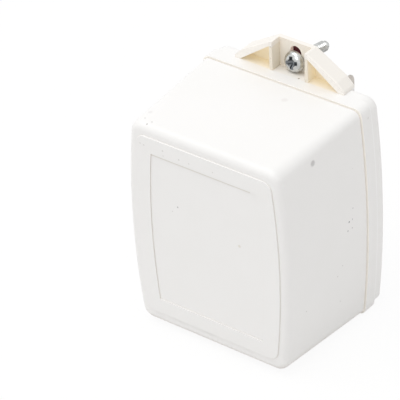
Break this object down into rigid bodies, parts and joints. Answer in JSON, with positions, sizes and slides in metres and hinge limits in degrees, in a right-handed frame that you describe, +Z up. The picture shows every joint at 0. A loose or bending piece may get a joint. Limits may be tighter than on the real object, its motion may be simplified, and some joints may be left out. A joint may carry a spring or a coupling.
{
  "type": "plug-in ac transformer",
  "caption": "Direct plug-in low-voltage AC transformer in an ivory two-part moulded case, with two flat blades, a slotted mounting ear with its screw, and screw terminals underneath",
  "frame": {"origin": "on the flat back face, midway between the two plug blades", "axes": "+X to the right seen from the front, +Y out of the back toward the wall along the blades, +Z up"},
  "size_m": [0.0612, 0.0669, 0.0837],
  "materials": {
    "ivory_plastic": "satin, very fine spark-eroded grain",
    "zinc_plated_steel": "bright zinc plate",
    "red_fibre": "vulcanised fibre sheet, punched",
    "plated_blade": "stamped brass strip with bright nickel plate",
    "natural_nylon": "natural, as moulded",
    "silicon_steel": "oxide-coated laminations",
    "tinned_wire": "hot-tinned",
    "enamelled_copper": "enamelled magnet wire",
    "polyester_tape": "smooth film",
    "black_insulation": "extruded insulation",
    "red_insulation": "extruded insulation",
    "terminal_brass": "stamped, plain"
  },
  "bodies": {
    "root": {"front_housing": "ivory_plastic", "rear_base": "ivory_plastic", "mounting_screw": "zinc_plated_steel", "screw_retaining_washer": "red_fibre", "plug_blade_left": "plated_blade", "plug_blade_right": "plated_blade", "blade_retainer": "natural_nylon", "e_lamination_stack": "silicon_steel", "i_lamination_stack": "silicon_steel", "bobbin": "natural_nylon", "primary_pin_upper": "tinned_wire", "primary_pin_lower": "tinned_wire", "secondary_pin_inner": "tinned_wire", "secondary_pin_outer": "tinned_wire", "primary_winding": "enamelled_copper", "primary_tape": "polyester_tape", "secondary_winding": "enamelled_copper", "secondary_tape": "polyester_tape", "thermal_fuse": "tinned_wire", "primary_lead_fused": "black_insulation", "fuse_lead": "black_insulation", "primary_lead_direct": "black_insulation", "secondary_lead_right": "red_insulation", "secondary_lead_left": "red_insulation", "terminal_plate_left": "terminal_brass", "terminal_plate_right": "terminal_brass", "wire_washer_left": "zinc_plated_steel", "wire_washer_right": "zinc_plated_steel", "terminal_screw_left": "zinc_plated_steel", "terminal_screw_right": "zinc_plated_steel"}
  },
  "joints": []
}
